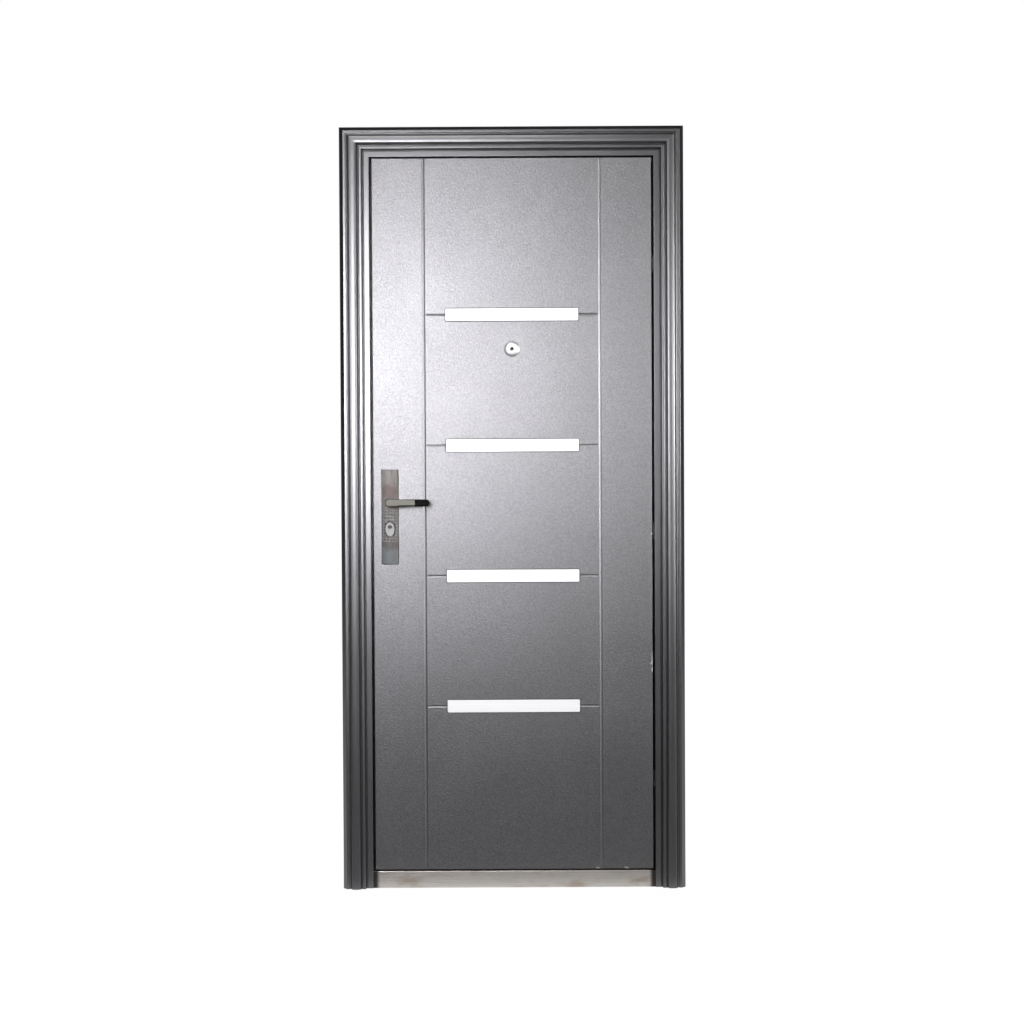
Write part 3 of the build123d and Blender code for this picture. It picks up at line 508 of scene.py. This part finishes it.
def sill_steel():
    """Brushed stainless sheet along the threshold, with brown smudges, and both ends painted dark as the
    shadow and reflection of the jambs.
    """
    material, tree, surface = new_finish("sill_steel")
    brush = drawn_grain(tree, *SILL_BRUSH)
    smudge = drawn_grain(tree, *SILL_SMUDGE)
    tone = two_tone(tree, brush, SILL_TONES)
    smudged = sum_of(tree, "MULTIPLY", step_between(tree, smudge, *SMUDGE_FADE), SMUDGE_SHARE)
    tone = mixed(tree, smudged, tone, SMUDGE_TONE)
    # Both ends painted dark, as the shadow and reflection of the jambs on the sill
    across = sum_of(tree, "ABSOLUTE", axes_of(tree, object_place(tree))["X"])
    tone = mixed(tree, step_between(tree, across, *SILL_END_SHADE_FADE), tone, SILL_END_SHADE_TONE)
    dress(tree, surface, tone, smudge, SILL_GLOSS)
    bumped(tree, surface, brush, SILL_BRUSH_DEEP)
    return material


def strip_aluminium():
    """Bright satin aluminium, brushed along its length."""
    material, tree, surface = new_finish("strip_aluminium")
    brush = drawn_grain(tree, *STRIP_BRUSH)
    dress(tree, surface, two_tone(tree, brush, STRIP_TONES), brush, STRIP_GLOSS)
    bumped(tree, surface, brush, BRUSH_DEEP)
    return material


def chrome():
    """Chrome plating with finger haze; the cylinder's guard and its plug are darker and worn."""
    material, tree, surface = new_finish("chrome")
    place = object_place(tree)
    haze = grain(tree, place, *CHROME_HAZE)
    face = round_marks(tree, place, CYLINDER_FACE, *CYLINDER_RIM)
    viewer = step_between(tree, axes_of(tree, place)["Z"], *VIEWER_FADE)
    off_face = sum_of(tree, "SUBTRACT", 1.0, face)
    off_viewer = sum_of(tree, "SUBTRACT", 1.0, viewer)
    tone = two_tone(tree, haze, CHROME_TONES)
    tone = mixed(tree, sum_of(tree, "MULTIPLY", off_face, off_viewer), tone, GUARD_TONE)
    tone = mixed(tree, viewer, tone, VIEWER_TONE)
    tone = mixed(tree, round_marks(tree, place, PLUG_FACE, *PLUG_RIM), tone, PLUG_TONE)
    dress(tree, surface, tone, haze, CHROME_GLOSS)
    return material


def waffle_tone(tree, axes):
    """Light tops and grooves painted near black, by the greater distance, across or up, from a square cell's
    middle.
    """
    sides = []
    for way, start in (("X", LOCK_X), ("Z", WAFFLE_LOW)):
        cell = sum_of(tree, "DIVIDE", sum_of(tree, "SUBTRACT", axes[way], start), WAFFLE_PITCH)
        inside = sum_of(tree, "SUBTRACT", sum_of(tree, "FRACT", cell), CELL_MIDDLE)
        sides.append(sum_of(tree, "ABSOLUTE", inside))
    groove = step_between(tree, sum_of(tree, "MAXIMUM", *sides), *WAFFLE_FADE)
    return mixed(tree, groove, *WAFFLE_TONES)


def plate_tone(tree, place, axes, brush):
    """Brushed tones with warm tarnish, painted reflection spots and a darker patch under the guard; the
    lever, which stands out in front, has one even tone.
    """
    tone = two_tone(tree, brush, NICKEL_TONES)
    tarnish = spread(tree, grain(tree, place, *NICKEL_TARNISH), 0.0, TARNISH_SHARE)
    tone = mixed(tree, tarnish, tone, TARNISH_TONE)
    for marks, share, spot_tone in PLATE_SPOTS:
        spot = sum_of(tree, "MULTIPLY", round_marks(tree, place, marks, *SPOT_RIM), share)
        tone = mixed(tree, spot, tone, spot_tone)
    return mixed(tree, step_between(tree, axes["Y"], *LEVER_FADE), tone, LEVER_TONE)


def satin_nickel(kind):
    """Satin nickel, brushed upright: the plain plate and levers, or the waffle squares."""
    material, tree, surface = new_finish(kind)
    place = object_place(tree)
    axes = axes_of(tree, place)
    brush = drawn_grain(tree, *NICKEL_BRUSH)
    tone = waffle_tone(tree, axes) if kind == "waffle" else plate_tone(tree, place, axes, brush)
    dress(tree, surface, tone, grain(tree, place, *NICKEL_DULLING), NICKEL_GLOSS)
    bumped(tree, surface, brush, BRUSH_DEEP)
    return material


def black_grip():
    """Black sleeve on the lever end, with hairline rubs."""
    material, tree, surface = new_finish("black_grip")
    rub = drawn_grain(tree, *GRIP_RUB)
    dress(tree, surface, two_tone(tree, rub, GRIP_TONES), rub, GRIP_GLOSS)
    surface.inputs["Specular IOR Level"].default_value = GRIP_SHINE
    return material


def lens_glass():
    """Dark coated glass of the viewer."""
    material, tree, surface = new_finish("lens_glass")
    haze = grain(tree, object_place(tree), *LENS_HAZE)
    dress(tree, surface, two_tone(tree, haze, LENS_TONES), haze, LENS_GLOSS)
    return material


def seal_rubber():
    """Matt black foam rubber with a fine open skin, grey at the hinge side as dust and as painted light in
    the gap there.
    """
    material, tree, surface = new_finish("seal_rubber")
    place = object_place(tree)
    pores = grain(tree, place, *RUBBER_PORES)
    # Grey at the hinge side: dust, and painted light where the seal shows in the hinge-side gap
    dust_and_gap_light = step_between(tree, axes_of(tree, place)["X"], *DUST_AND_GAP_LIGHT_FADE)
    tone = mixed(tree, dust_and_gap_light, two_tone(tree, pores, RUBBER_TONES), DUST_AND_GAP_LIGHT_TONE)
    dress(tree, surface, tone, pores, RUBBER_GLOSS)
    bumped(tree, surface, pores, PORES_DEEP)
    return material


def plated_steel(kind, tones, gloss, clouds):
    """Zinc-plated steel: cloudy metal with fine scratches."""
    material, tree, surface = new_finish(kind)
    cloud = grain(tree, object_place(tree), *clouds)
    dress(tree, surface, two_tone(tree, cloud, tones), cloud, gloss)
    bumped(tree, surface, drawn_grain(tree, *STEEL_SCRATCH), BRUSH_DEEP)
    return material


def core_filler():
    """Honeycomb board in the leaf: brown paper cells."""
    material, tree, surface = new_finish("core_filler")
    settings = {"Vector": object_place(tree), "Scale": CORE_CELLS}
    cells = add_node(tree, "ShaderNodeTexVoronoi", settings, feature="DISTANCE_TO_EDGE")
    walls = step_between(tree, cells.outputs["Distance"], *CELL_FADE)
    tree.links.new(mixed(tree, walls, *CORE_TONES), surface.inputs["Base Color"])
    bumped(tree, surface, walls, CELLS_DEEP)
    return material


def tube_faces(rows, columns, ring):
    """Quads of a grid whose columns run round a loop; the rows meet in a ring or end in two flat faces."""
    row = np.arange(rows if ring else rows - 1)[:, None]
    column = np.arange(columns)[None, :]
    beside = (column + 1) % columns
    this_row = row * columns
    next_row = (row + 1) % rows * columns
    corners = [this_row + column, next_row + column, next_row + beside, this_row + beside]
    quads = np.stack(corners, axis=-1).reshape(-1, 4).tolist()
    if ring:
        return quads
    last = np.arange(columns)[::-1] + (rows - 1) * columns
    return quads + [np.arange(columns).tolist(), last.tolist()]


def make_piece(name, points, body, slot, ring=False, finish=None):
    """Puts a grid of rows, loop columns and coordinates into a closed mesh and rides it on a body."""
    mesh = bpy.data.meshes.new(name)
    mesh.from_pydata(points.reshape(-1, 3).tolist(), [], tube_faces(*points.shape[:2], ring))
    mesh.polygons.foreach_set("use_smooth", np.ones(len(mesh.polygons), dtype=bool))
    mesh.set_sharp_from_angle(angle=math.radians(SHARP_ANGLE))
    mesh.materials.append(finish or finishes[slot])
    mesh.update()
    piece = bpy.data.objects.new(name, mesh)
    scene.collection.objects.link(piece)
    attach(piece, body)


def waffle_panel():
    """Rows of small blunt pyramids on the plate's crowned face, sunk at the rim and under the guard.

    The face is an arc through the crown and both edges. The height above it is the clipped distance
    to the nearest side of a square cell. The loop is closed by two points inside the plate.
    """
    radius = (PLATE_HALF ** 2 + (PLATE_CROWN - PLATE_EDGE) ** 2) / (2 * (PLATE_CROWN - PLATE_EDGE))
    columns = round(2 * WAFFLE_HALF / WAFFLE_PITCH) * WAFFLE_SAMPLES + 1
    rows = round((WAFFLE_HIGH - WAFFLE_LOW) / WAFFLE_PITCH) * WAFFLE_SAMPLES + 1
    across = np.linspace(WAFFLE_HALF, -WAFFLE_HALF, columns)[None, :]
    up = np.linspace(WAFFLE_LOW, WAFFLE_HIGH, rows)[:, None]
    from_left = np.abs((across + WAFFLE_HALF) / WAFFLE_PITCH % 1.0 - CELL_MIDDLE)
    from_low = np.abs((up - WAFFLE_LOW) / WAFFLE_PITCH % 1.0 - CELL_MIDDLE)
    rise = np.clip((CELL_MIDDLE - np.maximum(from_left, from_low)) / WAFFLE_SLOPE, 0.0, 1.0)
    height = rise * (WAFFLE_PROUD + WAFFLE_SUNK) - WAFFLE_SUNK
    straight = np.maximum(np.abs(up - GUARD_Z) - (GUARD_TALL - GUARD_HALF), 0.0)
    height = np.where(np.hypot(across, straight) < GUARD_HALF, -WAFFLE_UNDER, height)
    crown = PLATE_CROWN - radius + np.sqrt(radius ** 2 - across ** 2)
    points = np.empty((rows, columns + 2, 3))
    points[:, :columns, 0] = LOCK_X + across
    points[:, :columns, 1] = LEAF_FACE - crown - height
    points[:, columns:, 0] = LOCK_X + np.array([-WAFFLE_HALF, WAFFLE_HALF])
    points[:, columns:, 1] = LEAF_FACE - crown[0, 0] + WAFFLE_UNDER
    points[:, :, 2] = up
    make_piece("waffle_panel", points, "leaf", "satin_nickel", finish=satin_nickel("waffle"))


def strip_shade_ring(name, middle):
    """The dark ring round a strip, standing in for the shade along its edge: a flat ellipse carried along a
    rectangle with round corners.

    Each point of the path is a corner centre plus the corner radius in the direction of the turn angle.
    """
    turn = np.linspace(0.0, 2 * math.pi, 4 * SHADE_RING_TURNS, endpoint=False) + math.pi / (4 * SHADE_RING_TURNS)
    outward = np.stack([np.cos(turn), np.sin(turn)], axis=-1)
    corner = np.array([STRIP_HALF, STRIP_TALL]) - STRIP_CORNER
    path = np.sign(outward) * corner + outward * (STRIP_CORNER + SHADE_RING_OUT)
    round_about = np.linspace(0.0, 2 * math.pi, SHADE_RING_SIDES, endpoint=False)
    beyond = path[:, None, :] + outward[:, None, :] * (SHADE_RING_HALF * np.cos(round_about))[None, :, None]
    points = np.empty((len(turn), SHADE_RING_SIDES, 3))
    points[:, :, 0] = beyond[:, :, 0]
    points[:, :, 1] = LEAF_FACE + SHADE_RING_DEEP - SHADE_RING_PROUD * np.sin(round_about)[None, :]
    points[:, :, 2] = beyond[:, :, 1] + middle
    make_piece(name, points, "leaf", "seal_rubber", ring=True)


def screw_head(name, centre, outward, body, slot, radius):
    """A low domed head: height falls with the square of the radius, less a cross-shaped recess.

    The recess is the greater of two soft bars at right angles. The rim goes down into the plate.
    """
    share = np.concatenate([np.linspace(SCREW_MIDDLE, 1.0, SCREW_RINGS), [1.0]])[:, None]
    angle = np.linspace(0.0, 2 * math.pi, SCREW_SIDES, endpoint=False)[None, :]
    along = share * np.cos(angle)
    beside = share * np.sin(angle)
    bar = np.clip((SLOT_HALF - np.abs(along)) / SLOT_SOFT, 0.0, 1.0) * (np.abs(beside) < SLOT_LONG)
    cross_bar = np.clip((SLOT_HALF - np.abs(beside)) / SLOT_SOFT, 0.0, 1.0) * (np.abs(along) < SLOT_LONG)
    dome = SCREW_DOME * (SCREW_CROWN - share ** 2)
    height = radius * (dome - SLOT_DEEP * np.maximum(bar, cross_bar))
    height[-1] = -radius * SCREW_SUNK
    facing = np.array(outward)
    first = np.array([0.0, 0.0, 1.0])
    second = np.cross(facing, first)
    points = np.array(centre) + radius * (along[..., None] * first + beside[..., None] * second)
    make_piece(name, points + height[..., None] * facing, body, slot)


make_camera()
for lamp_name, lamp_setting in LAMPS.items():
    make_lamp(lamp_name, *lamp_setting)
make_world()
make_floor()

finishes = {
    "frame_paint": frame_paint(),
    "leaf_paint": leaf_paint(),
    "stainless_sill": sill_steel(),
    "strip_aluminium": strip_aluminium(),
    "chrome_trim": chrome(),
    "satin_nickel": satin_nickel("satin_nickel"),
    "black_grip": black_grip(),
    "lens_glass": lens_glass(),
    "seal_rubber": seal_rubber(),
    "hinge_steel": plated_steel("hinge_steel", HINGE_TONES, HINGE_GLOSS, HINGE_CLOUD),
    "lock_steel": plated_steel("lock_steel", LOCK_TONES, LOCK_GLOSS, LOCK_CLOUD),
    "core_filler": core_filler(),
}

# Every part takes the finish of its slot
for node in nodes.values():
    for place in node.material_slots:
        place.material = finishes[place.material.name]

# Fine pieces on the lock, the strips and the hinges
waffle_panel()
# Dark rings round the strips, standing in for the shade along their edges
for count, z in enumerate(STRIP_Z, 1):
    strip_shade_ring(f"strip_shade_ring_{count}", z)
for end, z in PLATE_SCREWS.items():
    screw_head(f"inner_plate_screw_{end}", (LOCK_X, INNER_PLATE_FACE, z), (0.0, 1.0, 0.0), "leaf",
               "satin_nickel", PLATE_SCREW_RADIUS)
for end, z in EDGE_SCREWS.items():
    screw_head(f"forend_screw_{end}", (FOREND_FACE, EDGE_MIDDLE, z), (-1.0, 0.0, 0.0), "leaf",
               "lock_steel", EDGE_SCREW_RADIUS)
    screw_head(f"strike_screw_{end}", (STRIKE_FACE, EDGE_MIDDLE, z), (1.0, 0.0, 0.0), "frame",
               "lock_steel", EDGE_SCREW_RADIUS)
for hinge, middle in HINGES.items():
    for end, step in FOOT_SCREWS.items():
        screw_head(f"hinge_foot_screw_{hinge}_{end}", (FOOT_FACE, FOOT_SCREW_Y, middle + step),
                   (1.0, 0.0, 0.0), "leaf", "hinge_steel", FOOT_SCREW_RADIUS)
